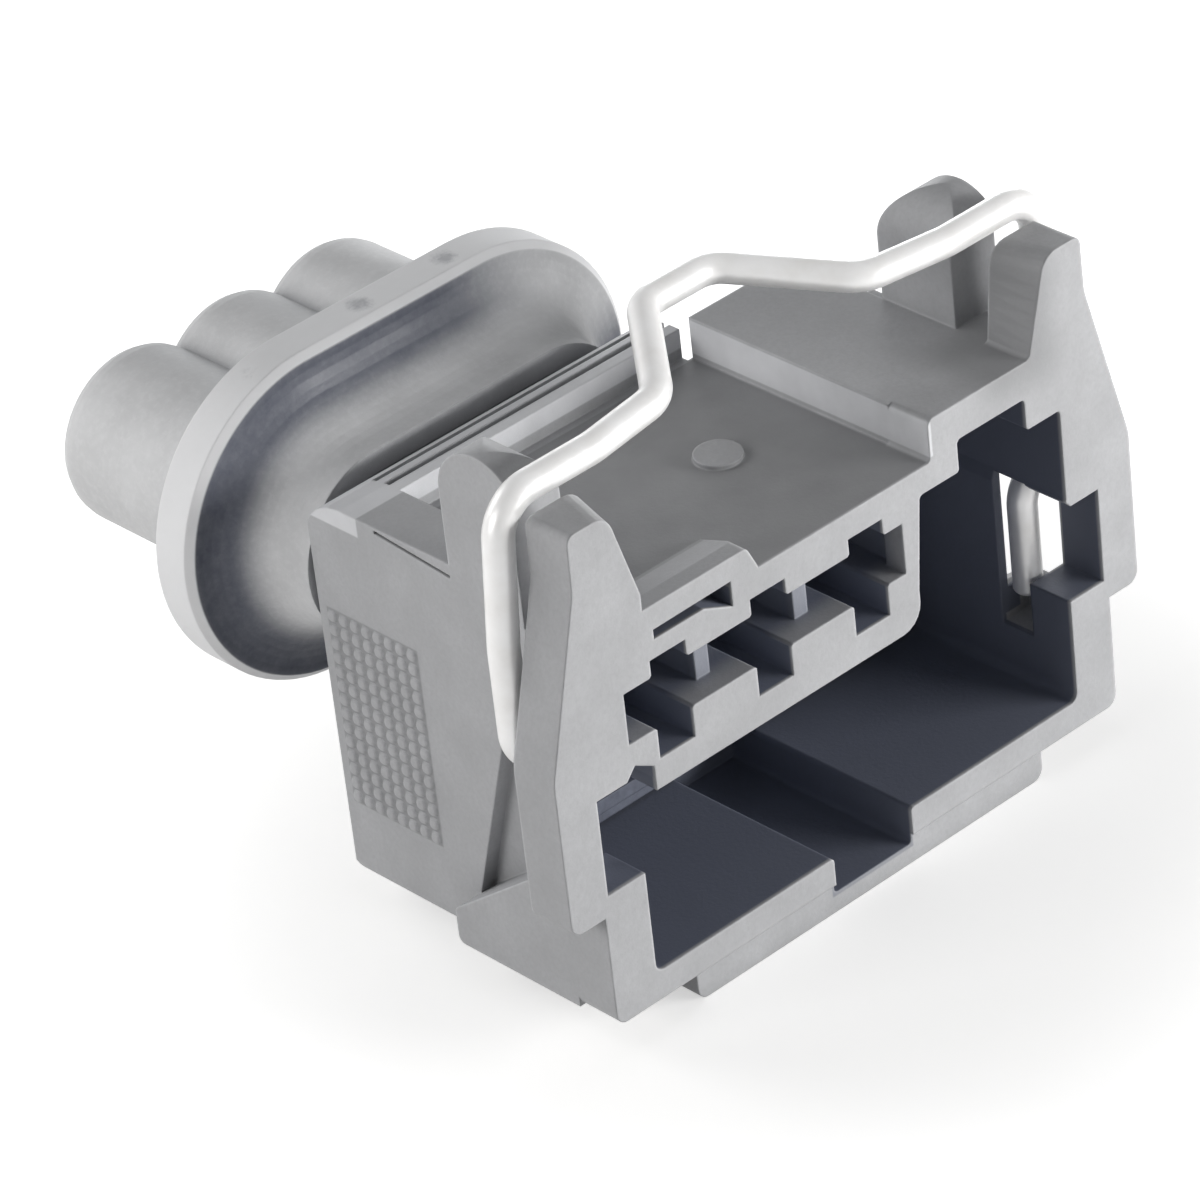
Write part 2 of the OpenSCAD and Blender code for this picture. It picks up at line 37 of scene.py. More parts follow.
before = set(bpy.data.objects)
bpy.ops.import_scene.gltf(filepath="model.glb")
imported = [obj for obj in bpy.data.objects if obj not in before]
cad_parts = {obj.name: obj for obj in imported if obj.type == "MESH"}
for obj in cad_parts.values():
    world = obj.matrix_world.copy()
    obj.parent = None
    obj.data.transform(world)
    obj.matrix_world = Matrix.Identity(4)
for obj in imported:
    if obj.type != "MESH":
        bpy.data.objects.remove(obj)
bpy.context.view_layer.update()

MM = 0.001
# The CAD's own frame is shifted so that its origin is the middle of the pad's underside.
PAD_MIDDLE = 6.25 * MM
PAD_HEIGHT = 1.3 * MM


def back(y):
    """The frame's y of a depth in millimetres behind the mating face."""
    return y * MM - PAD_MIDDLE


def up(z):
    """The frame's z of a height in millimetres above the body's underside."""
    return z * MM + PAD_HEIGHT


def placed(x, y, z):
    """The frame's point of a side position, a depth and a height in millimetres."""
    return Vector((x * MM, back(y), up(z)))


# ---- Sizes and colours that a user may change -------------------------------------------------


class PlasticSettings(bpy.types.PropertyGroup):
    colour: FloatVectorProperty(
        name="Colour", description="Colour of the moulded housing", subtype="COLOR",
        size=3, min=0, max=1, default=(0.50, 0.505, 0.52))
    # Painted shade: this colour stands in for the shade deep inside the openings.
    shade: FloatVectorProperty(
        name="Cavity shade", description="Colour of the housing deep inside its openings",
        subtype="COLOR", size=3, min=0, max=1, default=(0.165, 0.18, 0.23))
    roughness: FloatProperty(
        name="Roughness", description="Roughness of the moulded skin", subtype="FACTOR",
        min=0, max=1, default=0.55)
    edge: FloatProperty(
        name="Edge rounding", description="Radius that mould edges are softened to",
        subtype="DISTANCE", unit="LENGTH", min=0, default=0.14 * MM)


class RubberSettings(bpy.types.PropertyGroup):
    colour: FloatVectorProperty(
        name="Colour", description="Colour of the boot", subtype="COLOR", size=3, min=0, max=1,
        default=(0.74, 0.745, 0.755))
    # Painted highlight: this colour lights up the boot's rim as if catching light; it also colours
    # pale specks in the grain.
    bloom_and_highlight: FloatVectorProperty(
        name="Bloom", description="Colour of the pale bloom on the boot's rim", subtype="COLOR",
        size=3, min=0, max=1, default=(0.98, 0.985, 1.0))
    # Painted shade: this colour stands in for the shade in the hollow in front of the rim; it also
    # colours the vent marks and the painted shade in gaps.
    hollow: FloatVectorProperty(
        name="Hollow", description="Colour of the polished hollow in front of the boot's rim",
        subtype="COLOR", size=3, min=0, max=1, default=(0.095, 0.105, 0.14))
    roughness: FloatProperty(
        name="Roughness", description="Roughness of the rubber", subtype="FACTOR", min=0, max=1,
        default=0.6)


class WireSettings(bpy.types.PropertyGroup):
    colour: FloatVectorProperty(
        name="Colour", description="Colour of the plated spring wire", subtype="COLOR", size=3,
        min=0, max=1, default=(0.97, 0.96, 0.945))
    thickness: FloatProperty(
        name="Thickness", description="Diameter of the spring wire", subtype="DISTANCE",
        unit="LENGTH", min=0.0001, default=1.2 * MM)


class StageSettings(bpy.types.PropertyGroup):
    azimuth: FloatProperty(
        name="Azimuth", description="Angle of the camera round the plug", subtype="ANGLE",
        default=math.radians(-40.09))
    elevation: FloatProperty(
        name="Elevation", description="Angle of the camera above the horizon", subtype="ANGLE",
        default=math.radians(32.39))
    roll: FloatProperty(
        name="Roll", description="Turn of the camera about its own axis", subtype="ANGLE",
        default=math.radians(-6.73))
    distance: FloatProperty(
        name="Distance", description="Distance of the camera from the plug", subtype="DISTANCE",
        unit="LENGTH", min=0.01, default=240 * MM)
    key_power: FloatProperty(
        name="Key light", description="Power of the low front light, in watts", min=0,
        default=0.37)
    side_power: FloatProperty(
        name="Side light", description="Power of the light on the left side, in watts", min=0,
        default=0.23)
    back_power: FloatProperty(
        name="Back light", description="Power of the light over the boot, in watts", min=0,
        default=0.035)
    fill_power: FloatProperty(
        name="Fill light", description="Power of the light behind the right side, in watts",
        min=0, default=0.16)
    ambient: FloatProperty(
        name="Ambient", description="Strength of the even light all round", min=0, default=0.12)


# ---- Meshes ------------------------------------------------------------------------------------


def grid_mesh(name, points, closed_round, capped=False):
    """A mesh from an array of points [rings, sides, 3]; each ring joins the next, and a ring may
    close on itself. Capped ends are closed by one polygon each."""
    rings, sides = points.shape[:2]
    i, k = np.meshgrid(np.arange(rings - 1), np.arange(sides if closed_round else sides - 1),
                       indexing="ij")
    after = (k + 1) % sides
    quads = np.stack([i * sides + k, i * sides + after, (i + 1) * sides + after,
                      (i + 1) * sides + k], axis=-1).reshape(-1, 4)
    faces = quads.tolist()
    if capped:
        faces.append(list(range(sides - 1, -1, -1)))
        faces.append(list(range((rings - 1) * sides, rings * sides)))
    mesh = bpy.data.meshes.new(name)
    mesh.from_pydata(points.reshape(-1, 3).tolist(), [], faces)
    mesh.polygons.foreach_set("use_smooth", np.ones(len(mesh.polygons), dtype=bool))
    mesh.update()
    obj = bpy.data.objects.new(name, mesh)
    bpy.context.scene.collection.objects.link(obj)
    return obj


NEARLY_STRAIGHT = 1.5705  # half angle past which a corner isn't rounded


def rounded_path(points, radii, steps):
    """A line through the points with each corner replaced by an arc of its radius. A point of the
    arc is middle + (sin(w (1 - t)) first + sin(w t) last) / sin(w), where w is the arc's angle, t
    runs from 0 to 1, and first and last lead from the arc's middle to its ends."""
    line = [points[0]]
    for before, here, after, radius in zip(points, points[1:], points[2:], radii[1:]):
        u = (before - here) / np.linalg.norm(before - here)
        v = (after - here) / np.linalg.norm(after - here)
        half = math.acos(np.clip(u @ v, -1, 1)) / 2
        if radius == 0 or half > NEARLY_STRAIGHT:
            line.append(here)
            continue
        middle = here + (u + v) / np.linalg.norm(u + v) * radius / math.sin(half)
        first = here + u * radius / math.tan(half) - middle
        last = here + v * radius / math.tan(half) - middle
        sweep = math.pi - 2 * half
        t = np.linspace(0, 1, steps)[:, None]
        line.extend(middle + (np.sin(sweep * (1 - t)) * first + np.sin(sweep * t) * last)
                    / math.sin(sweep))
    line.append(points[-1])
    return np.array(line)


def tube(name, line, radius, sides=36, end_rings=6):
    """A round tube along a line: each ring is the line's point plus the radius times
    (u cos a + v sin a), where u and v stand square to the line. The rings at each end draw in over
    a quarter ellipse: at its angle b the radius is scaled by (1 + cos b) / 2, and the ring lies the
    lip times sin b nearer the end."""
    way = np.gradient(line, axis=0)
    way /= np.linalg.norm(way, axis=1, keepdims=True)
    aside = math.radians(40)  # a direction that no stretch of the line takes
    u = np.cross(way, [0, math.cos(aside), math.sin(aside)])
    u /= np.linalg.norm(u, axis=1, keepdims=True)
    v = np.cross(way, u)
    b = np.linspace(0, math.pi / 2, end_rings + 1)[1:]
    lip = 0.4 * radius
    start = line[0] + way[0] * lip * (1 - np.sin(b[::-1]))[:, None]
    stop = line[-1] - way[-1] * lip * (1 - np.sin(b))[:, None]
    line = np.concatenate([start, line[:1] + way[:1] * lip, line[1:-1],
                           line[-1:] - way[-1:] * lip, stop])
    scale = 0.5 + 0.5 * np.cos(b)
    scale = np.concatenate([scale[::-1], np.ones(len(u)), scale])
    u, v = (np.concatenate([np.repeat(w[:1], len(b), 0), w, np.repeat(w[-1:], len(b), 0)])
            for w in (u, v))
    a = np.linspace(0, 2 * math.pi, sides, endpoint=False)[None, :, None]
    ring = radius * scale[:, None, None] * (u[:, None] * np.cos(a) + v[:, None] * np.sin(a))
    return grid_mesh(name, line[:, None] + ring, closed_round=True, capped=True)


def wire_line():
    """The wire's centre line in metres: from the right toe up the leg, over the ear, round the loop
    and down again on the left, whose points mirror the right ones. Each row holds a point in
    millimetres and the radius of its bend."""
    depth = 2.9             # of the legs behind the mating face
    bar = 21.35             # height of the bar over the ears
    toe, bow, corner = 11.9, 14.0, 13.5  # half widths from the foot up
    tilt = math.radians(8)  # of the loop

    def on_loop(x, reach, radius):
        """A row of the loop, which leaves the bar at the tilt: (reach cos tilt, reach sin tilt)."""
        return (x, depth + reach * math.cos(tilt), bar + reach * math.sin(tilt)), radius

    right = [
        ((toe, depth, 4.7), 0),
        ((toe, depth, 9.0), 1.4),
        ((bow, depth, 11.5), 1.4),
        ((bow, depth, 15.6), 6),
        ((corner, depth, bar), 1.6),
        ((8.95, depth, bar), 4),
        on_loop(5.2, 0.5, 1.8),
        on_loop(1.7, 4.9, 1.4),
    ]
    points = [np.array(placed(*point)) for point, _ in right]
    points += [point * (-1, 1, 1) for point in reversed(points)]
    radii = [radius * MM for _, radius in right]
    return rounded_path(points, radii + radii[::-1], steps=14)


# A grip of small pips on the left side of the cable end. It runs from one count of pitches to
# another along y and along z.
GRIP_PITCH = 0.62 * MM
GRIP_Y = (6, 14)
GRIP_Z = (7, 21)
SIDE_WALL = -12.3 * MM


def grip_patch(height=0.14 * MM, sink=0.03 * MM, samples=12):
    """Raised pips: at each (y, z) of a grid the skin stands out from the side wall by the height
    times s(|sin(pi y / pitch) sin(pi z / pitch)|), less the sink that hides its border. The soft
    step s(c) is t t (3 - 2 t), where t is (c - 0.1) / 0.5 held between 0 and 1."""
    y, z = np.meshgrid(*(np.linspace(a * GRIP_PITCH, b * GRIP_PITCH, (b - a) * samples + 1)
                         for a, b in (GRIP_Y, GRIP_Z)), indexing="ij")
    crest = np.abs(np.sin(math.pi * y / GRIP_PITCH) * np.sin(math.pi * z / GRIP_PITCH))
    t = np.clip((crest - 0.1) / 0.5, 0, 1)
    x = SIDE_WALL + sink - height * t * t * (3 - 2 * t)
    return grid_mesh("side_grip", np.stack([x, y, z], axis=-1), closed_round=False)


# ---- Materials ---------------------------------------------------------------------------------


class Nodes:
    """A short hand for the node tree of one material."""

    def __init__(self, name):
        self.material = bpy.data.materials.new(name)
        self.material.use_nodes = True
        self.tree = self.material.node_tree
        self.tree.nodes.clear()
        self.shader = self.add("ShaderNodeBsdfPrincipled")
        out = self.add("ShaderNodeOutputMaterial")
        self.tree.links.new(self.shader.outputs[0], out.inputs["Surface"])
        self.coords = self.add("ShaderNodeTexCoord").outputs["Object"]

    def add(self, kind, **values):
        """A new node with its attributes set."""
        node = self.tree.nodes.new(kind)
        for key, value in values.items():
            setattr(node, key, value)
        return node

    def plug(self, value, socket):
        """Link an output to the socket, or set the socket to a plain value."""
        if isinstance(value, bpy.types.NodeSocket):
            self.tree.links.new(value, socket)
        else:
            socket.default_value = value

    def noise(self, scale, detail=4.0, stretch=(1, 1, 1), rough=0.55):
        """Noise from 0 to 1 in the object's own space."""
        mapping = self.add("ShaderNodeMapping")
        self.plug(self.coords, mapping.inputs["Vector"])
        mapping.inputs["Scale"].default_value = stretch
        node = self.add("ShaderNodeTexNoise")
        self.plug(mapping.outputs[0], node.inputs["Vector"])
        node.inputs["Scale"].default_value = scale
        node.inputs["Detail"].default_value = detail
        node.inputs["Roughness"].default_value = rough
        return node.outputs["Fac"]

    def spread(self, value, low, high, to_low=0.0, to_high=1.0, smooth=False):
        """The range from low to high mapped to another, and held at its ends."""
        node = self.add("ShaderNodeMapRange")
        node.interpolation_type = "SMOOTHSTEP" if smooth else "LINEAR"
        self.plug(value, node.inputs["Value"])
        numbers = {"From Min": low, "From Max": high, "To Min": to_low, "To Max": to_high}
        for key, number in numbers.items():
            node.inputs[key].default_value = number
        return node.outputs[0]

    def crevice_shade(self, distance, amount):
        """Painted shade: 0 on open faces, rising to the amount in narrow gaps."""
        open_air = self.add("ShaderNodeAmbientOcclusion", samples=3)
        open_air.inputs["Distance"].default_value = distance
        return self.spread(open_air.outputs["AO"], 0.1, 0.75, amount, 0.0)

    def wave(self, value, pitch):
        """A sine along the value, with one crest in every two pitches."""
        return self.maths("SINE", self.times(value, math.pi / pitch))

    def maths(self, operation, a, b=0.0):
        """One step of arithmetic."""
        node = self.add("ShaderNodeMath", operation=operation)
        self.plug(a, node.inputs[0])
        self.plug(b, node.inputs[1])
        return node.outputs[0]

    def highest(self, values):
        """The largest of several values."""
        values = list(values)
        total = values[0]
        for value in values[1:]:
            total = self.maths("MAXIMUM", total, value)
        return total

    def times(self, a, b):
        """The product of two values."""
        return self.maths("MULTIPLY", a, b)

    def mix(self, factor, a, b):
        """Colour a where the factor is 0 and b where it is 1."""
        node = self.add("ShaderNodeMix", data_type="RGBA")
        self.plug(factor, node.inputs["Factor"])
        self.plug(a if isinstance(a, bpy.types.NodeSocket) else (*a, 1), node.inputs["A"])
        self.plug(b if isinstance(b, bpy.types.NodeSocket) else (*b, 1), node.inputs["B"])
        return node.outputs["Result"]

    def axes(self):
        """The three coordinates of the shaded point."""
        node = self.add("ShaderNodeSeparateXYZ")
        self.plug(self.coords, node.inputs[0])
        return node.outputs

    def inside(self, low, high, soft=0.05 * MM, entry=None):
        """1 inside the box from low to high and 0 outside, over a soft edge. The entry, where it is
        given, is how far behind the box's front the change ends."""
        total = None
        for axis, (socket, a, b) in enumerate(zip(self.axes(), low, high)):
            full = a + entry if entry and axis == 1 else a + soft
            rise = self.spread(socket, a - soft, full, smooth=True)
            fall = self.spread(socket, b - soft, b + soft, 1.0, 0.0, smooth=True)
            within = self.times(rise, fall)
            total = within if total is None else self.times(total, within)
        return total

    def edge_mask(self, radius, low=0.02, high=0.25):
        """0 on flat faces, rising to 1 along outer and inner edges within the radius."""
        bevel = self.add("ShaderNodeBevel", samples=8)
        bevel.inputs["Radius"].default_value = radius
        flat = self.add("ShaderNodeNewGeometry").outputs["True Normal"]
        dot = self.add("ShaderNodeVectorMath", operation="DOT_PRODUCT")
        self.plug(bevel.outputs[0], dot.inputs[0])
        self.plug(flat, dot.inputs[1])
        return self.spread(self.maths("SUBTRACT", 1.0, dot.outputs["Value"]), low, high)

    def bump(self, height, distance, strength=1.0, edge=0.0):
        """Relief from the height, over edges rounded to the edge radius."""
        node = self.add("ShaderNodeBump")
        node.inputs["Strength"].default_value = strength
        node.inputs["Distance"].default_value = distance
        self.plug(height, node.inputs["Height"])
        if edge:
            bevel = self.add("ShaderNodeBevel", samples=8)
            bevel.inputs["Radius"].default_value = edge
            self.plug(bevel.outputs[0], node.inputs["Normal"])
        self.plug(node.outputs[0], self.shader.inputs["Normal"])


def shades(colour, amount):
    """The colour made darker and lighter by the amount."""
    darker = tuple(c * (1 - amount) for c in colour)
    lighter = tuple(min(1, c * (1 + amount)) for c in colour)
    return darker, lighter


# Zones of the housing are boxes, each from its low corner to its high one.
# Openings, where painted shade darkens the plastic right behind the front
OPENING_ENTRY = 0.10 * MM
OPENINGS = (
    (placed(-11.4, 0.12, 0.7), placed(11.4, 9.8, 14.3)),        # mating cavity
    (placed(-2.15, 0.12, -0.6), placed(2.15, 9.8, 1.3)),        # key groove
    (placed(5.7, 0.12, 13.9), placed(11.4, 6.4, 15.6)),         # under the high roof
    (placed(5.7, 6.0, 13.9), placed(9.8, 9.8, 15.6)),
    (placed(11.0, 0.12, 5.5), placed(13.15, 2.0, 10.4)),        # side windows in the frame
    (placed(-13.15, 0.12, 5.5), placed(-11.0, 2.0, 10.4)),
    (placed(11.1, 1.9, 3.6), placed(12.2, 3.85, 12.4)),         # and behind it
    (placed(-12.2, 1.9, 3.6), placed(-11.1, 3.85, 12.4)),
)
# The terminal block stands in the mating cavity, and the painted shade on its ledge sets in more
# slowly.
BLOCK = (placed(-11.4, 0.12, 9.2), placed(3.4, 9.8, 14.95))
LEDGE = (placed(-11.0, -0.5, 11.12), placed(3.2, 2.0, 13.3))
# Painted light: the cable end's top and the step between the roofs are painted paler, as if more
# lit
PAINTED_LIGHT_PARTS = (
    (placed(-12.6, 12.5, 15.6), placed(4.6, 16, 16.7)),
    (placed(4.4, -0.5, 15.35), placed(4.7, 12.6, 16.8)),
)
# Painted shade: the low roof and the foot of the right ear are painted darker, as if shadowed
LOW_ROOF_PAINTED_SHADE = (placed(-9.9, 0.1, 15.05), placed(4.45, 12.3, 15.3))
EAR_FOOT_PAINTED_SHADE = (placed(7.5, -0.9, 15.9), placed(11.3, 3.4, 20.6))
GRIP = (Vector((SIDE_WALL - 0.2 * MM, GRIP_Y[0] * GRIP_PITCH, GRIP_Z[0] * GRIP_PITCH)),
        Vector((SIDE_WALL + 0.1 * MM, GRIP_Y[1] * GRIP_PITCH, GRIP_Z[1] * GRIP_PITCH)))


def opening_shade(n, block):
    """Painted shade: 1 inside the openings and the terminal block, less where the block's ledge
    takes it slowly.
    """
    shade = n.highest([*(n.inside(*box, entry=OPENING_ENTRY) for box in OPENINGS), block])
    gradual = n.spread(n.axes()[1], back(0.3), back(1.6), smooth=True)
    still_open = n.times(n.inside(*LEDGE), n.maths("SUBTRACT", 1.0, gradual))
    return n.times(shade, n.spread(still_open, 0, 1, 1.0, 0.0))


def grip_hollow_shade(n):
    """Painted shade between the pips of the grip: 0.6 there, falling to 0 on top of them."""
    grip = n.inside(*GRIP)
    _, y, z = n.axes()
    crest = n.times(n.wave(y, GRIP_PITCH), n.wave(z, GRIP_PITCH))
    pips = n.times(grip, n.spread(n.maths("ABSOLUTE", crest), 0.1, 0.6, smooth=True))
    return n.times(grip, n.spread(pips, 0, 1, 0.6, 0.0))


def moulded_plastic(settings):
    """Glass-filled grey plastic: faint cloudy tone, flow lines, fine grain, edges softened and
    given a painted highlight, zones of painted light and painted shade, and painted shade in gaps
    and openings."""
    n = Nodes("moulded_plastic")
    colour = settings.colour
    cloud = n.noise(420, 5)
    flow = n.noise(260, 3, stretch=(1, 1, 0.25))
    grain = n.noise(5200, 2, rough=0.7)

    def cloudy(low, high, until=0.7):
        """From low to high as the cloud rises."""
        return n.spread(cloud, 0.3, until, low, high)

    tone = n.mix(cloudy(0.0, 1.0), *shades(colour, 0.08))
    tone = n.mix(n.spread(flow, 0.45, 0.75, 0.0, 0.35), tone, shades(colour, 0.16)[0])
    tone = n.mix(n.spread(grain, 0.35, 0.75, 0.0, 0.28), tone, shades(colour, 0.3)[0])
    # Painted light: paler tone where the cable end's top and the roof step catch more light
    pale = n.highest(n.inside(*box) for box in PAINTED_LIGHT_PARTS)
    tone = n.mix(n.times(pale, cloudy(0.7, 1.0)), tone, shades(colour, 0.65)[1])
    # Painted shade on the low roof
    tone = n.mix(n.times(n.inside(*LOW_ROOF_PAINTED_SHADE), cloudy(0.75, 1.0)), tone, shades(colour, 0.36)[0])
    # Painted shadow at the foot of the right ear
    ear_foot_shade = n.inside(*EAR_FOOT_PAINTED_SHADE, soft=1.0 * MM)
    tone = n.mix(n.times(ear_foot_shade, 0.75), tone, shades(colour, 0.4)[0])
    # Painted shade in the hollows between the grip's pips
    tone = n.mix(grip_hollow_shade(n), tone, shades(colour, 0.5)[0])
    # Painted highlight: edges painted paler, as if catching light
    edge_highlight = n.times(n.edge_mask(0.22 * MM), cloudy(0.25, 0.6, until=0.6))
    tone = n.mix(edge_highlight, tone, shades(colour, 0.45)[1])
    # Painted shade in narrow gaps
    tone = n.mix(n.crevice_shade(1.3 * MM, 0.55), tone, shades(colour, 0.78)[0])
    # Painted shade inside the openings and the terminal block, a little lighter on the block
    block = n.inside(*BLOCK)
    deep = n.mix(block, settings.shade, tuple(1.2 * c for c in settings.shade))
    n.plug(n.mix(opening_shade(n, block), tone, deep), n.shader.inputs["Base Color"])
    n.plug(cloudy(settings.roughness - 0.06, settings.roughness + 0.08),
           n.shader.inputs["Roughness"])
    n.shader.inputs["Specular IOR Level"].default_value = 0.35
    height = n.maths("ADD", n.spread(grain, 0, 1, 0, 0.6), n.spread(cloud, 0, 1, 0, 0.4))
    n.bump(height, 0.03 * MM, 0.5, edge=settings.edge)
    return n.material


# Marks on the boot's rim, where the mould's vents were
RIM_MARKS = (placed(-10.15, 20.2, 18.3), placed(-4.74, 20.2, 19.1), placed(-0.43, 20.2, 19.1))
BOOT_CORE = placed(-4, 0, 12.275)  # middle of the boot's oval
BOOT_STRAIGHT = 4.35 * MM  # half the straight part of the boot's oval


def boot_reach(n):
    """Distance from the boot's flat core: the length of (x beyond the straight, z)."""
    x, _, z = n.axes()
    aside = n.maths("ABSOLUTE", n.maths("SUBTRACT", x, BOOT_CORE.x))
    beyond = n.maths("MAXIMUM", n.maths("SUBTRACT", aside, BOOT_STRAIGHT), 0.0)
    rise = n.maths("SUBTRACT", z, BOOT_CORE.z)
    return n.maths("SQRT", n.maths("ADD", n.times(beyond, beyond), n.times(rise, rise)))


def boot_hollow(n, reach):
    """1 in the hollow in front of the rim, less near the neck and at the upper right; it places
    painted shade there and lowers the roughness.
    """
    x, y, z = n.axes()
    front = n.spread(y, back(19.08), back(19.2), 1.0, 0.0, smooth=True)
    by_rim = n.times(n.spread(reach, 4.0 * MM, 5.2 * MM, smooth=True), front)
    low = n.times(n.spread(z, up(6.8), up(9.6), 0.6, 0.0, smooth=True), front)
    high_right = n.times(n.spread(x, -2 * MM, 3.5 * MM, smooth=True),
                        n.spread(z, up(12), up(15), smooth=True))
    return n.times(n.highest((by_rim, low)), n.spread(high_right, 0, 1, 1.0, 0.1))


def rim_mark(n, place, grain):
    """1 at a place on the rim, fading out over a ragged spot."""
    gap = n.add("ShaderNodeVectorMath", operation="DISTANCE")
    n.plug(n.coords, gap.inputs[0])
    gap.inputs[1].default_value = place
    ragged = n.maths("ADD", gap.outputs["Value"], n.spread(grain, 0, 1, -0.3 * MM, 0.3 * MM))
    return n.spread(ragged, 0.1 * MM, 0.7 * MM, 1.0, 0.0, smooth=True)


def boot_rubber(settings):
    """Grey silicone rubber: matte grain with pale specks, a painted highlight on the rim with a few
    vent marks, a smoother hollow in front of the rim darkened by painted shade, and painted shade
    in gaps."""
    n = Nodes("boot_rubber")
    cloud = n.noise(300, 4)
    grain = n.noise(3600, 3, rough=0.65)
    blotch = n.noise(700, 4, rough=0.65)
    reach = boot_reach(n)
    hollow = boot_hollow(n, reach)
    tone = n.mix(n.spread(cloud, 0.3, 0.7), *shades(settings.colour, 0.1))
    # Painted shade in the hollow in front of the rim
    tone = n.mix(n.times(hollow, n.spread(blotch, 0.3, 0.7, 0.9, 1.0)), tone, settings.hollow)
    # Painted highlight on the rim
    rim = n.times(n.spread(reach, 6.5 * MM, 6.6 * MM, smooth=True),
                 n.spread(n.axes()[1], back(19.05), back(19.15), smooth=True))
    tone = n.mix(n.times(rim, n.spread(blotch, 0.3, 0.6, 0.88, 1.0)), tone, settings.bloom_and_highlight)
    marks = n.highest(rim_mark(n, place, grain) for place in RIM_MARKS)
    tone = n.mix(n.times(marks, 0.45), tone, settings.hollow)
    speck = n.times(n.spread(grain, 0.45, 0.75, 0.0, 0.22), n.spread(hollow, 0, 1, 1.0, 0.15))
    tone = n.mix(speck, tone, settings.bloom_and_highlight)
    # Painted shade in narrow gaps
    tone = n.mix(n.crevice_shade(2.0 * MM, 0.55), tone, settings.hollow)
    n.plug(tone, n.shader.inputs["Base Color"])
    matte = n.spread(cloud, 0.3, 0.7, settings.roughness - 0.08, settings.roughness + 0.08)
    n.plug(n.maths("SUBTRACT", matte, n.times(hollow, 0.15)), n.shader.inputs["Roughness"])
    n.shader.inputs["Specular IOR Level"].default_value = 0.3
    n.shader.inputs["Sheen Weight"].default_value = 0.1
    height = n.maths("ADD", n.spread(grain, 0, 1, 0, 0.5), n.spread(cloud, 0, 1, 0, 0.5))
    n.bump(height, 0.04 * MM, 0.5, edge=0.12 * MM)
    return n.material


def plated_wire(settings):
    """Bright plated spring wire with faint drawing lines."""
    n = Nodes("plated_wire")
    dark, light = shades(settings.colour, 0.08)
    cloud = n.noise(600, 4)
    grain = n.noise(4000, 2)
    n.plug(n.mix(n.spread(cloud, 0.3, 0.7), dark, light), n.shader.inputs["Base Color"])
    n.shader.inputs["Metallic"].default_value = 0.3
    n.plug(n.spread(grain, 0.3, 0.7, 0.30, 0.45), n.shader.inputs["Roughness"])
    n.bump(grain, 0.01 * MM, 0.4)
    return n.material


SEAL_DARK, SEAL_LIGHT = (0.10, 0.11, 0.145), (0.14, 0.155, 0.2)


def seal_rubber():
    """Dark slate soft rubber with a dusty grain."""
    n = Nodes("seal_rubber")
    grain = n.noise(3000, 3)
    n.plug(n.mix(n.spread(grain, 0.3, 0.7), SEAL_DARK, SEAL_LIGHT), n.shader.inputs["Base Color"])
    n.plug(n.spread(grain, 0.3, 0.7, 0.6, 0.8), n.shader.inputs["Roughness"])
    n.bump(grain, 0.02 * MM, 0.5, edge=0.1 * MM)
    return n.material


# Colour of each sheet metal, and the range of its roughness
TIN = ((0.62, 0.60, 0.54), 0.28, 0.45)
STEEL = ((0.5, 0.51, 0.52), 0.3, 0.5)


def sheet_metal(name, colour, low, high):
    """Stamped sheet with rolling lines along its length and a soft tin or oil film. The roughness
    runs from low to high."""
    n = Nodes(name)
    lines = n.noise(900, 3, stretch=(6, 0.4, 6))
    cloud = n.noise(500, 3)
    dark, light = shades(colour, 0.12)
    n.plug(n.mix(n.spread(cloud, 0.3, 0.7), dark, light), n.shader.inputs["Base Color"])
    n.shader.inputs["Metallic"].default_value = 1.0
    n.plug(n.spread(lines, 0.3, 0.7, low, high), n.shader.inputs["Roughness"])
    n.bump(lines, 0.01 * MM, 0.4, edge=0.05 * MM)
    return n.material


def dress(node, material):
    """Give a CAD node the material in place of its own."""
    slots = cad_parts[node].data.materials
    slots.clear()
    slots.append(material)


# ---- Operators ---------------------------------------------------------------------------------


class PLUG_OT_housing(bpy.types.Operator):
    """Give the housing its moulded plastic and the grip on its left side"""
    bl_idname = "plug.housing"
    bl_label = "Housing"

    def execute(self, context):
        plastic = moulded_plastic(context.scene.plug_plastic)
        dress("housing", plastic)
        grip = grip_patch()
        grip.data.materials.append(plastic)
        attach(grip, "plug")
        return {"FINISHED"}


class PLUG_OT_wire_clip(bpy.types.Operator):
    """Bend the spring wire clip"""
    bl_idname = "plug.wire_clip"
    bl_label = "Wire clip"

    def execute(self, context):
        settings = context.scene.plug_wire
        material = plated_wire(settings)
        dress("wire_clip", material)
        wire = tube("spring_wire_clip", wire_line(), settings.thickness / 2)
        wire.data.materials.append(material)
        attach(wire, "clip")
        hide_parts("wire_clip")
        return {"FINISHED"}


class PLUG_OT_boot(bpy.types.Operator):
    """Mould the rubber boot"""
    bl_idname = "plug.boot"
    bl_label = "Boot"

    def execute(self, context):
        dress("boot", boot_rubber(context.scene.plug_rubber))
        return {"FINISHED"}


class PLUG_OT_inside(bpy.types.Operator):
    """Finish the face seal, the contacts and their sleeves"""
    bl_idname = "plug.inside"
    bl_label = "Seal and contacts"

    def execute(self, context):
        dress("face_seal", seal_rubber())
        tin = sheet_metal("tinned_brass", *TIN)
        steel = sheet_metal("spring_steel", *STEEL)
        for i in (1, 2, 3):
            dress(f"contact_{i}", tin)
            dress(f"contact_spring_{i}", steel)
        return {"FINISHED"}


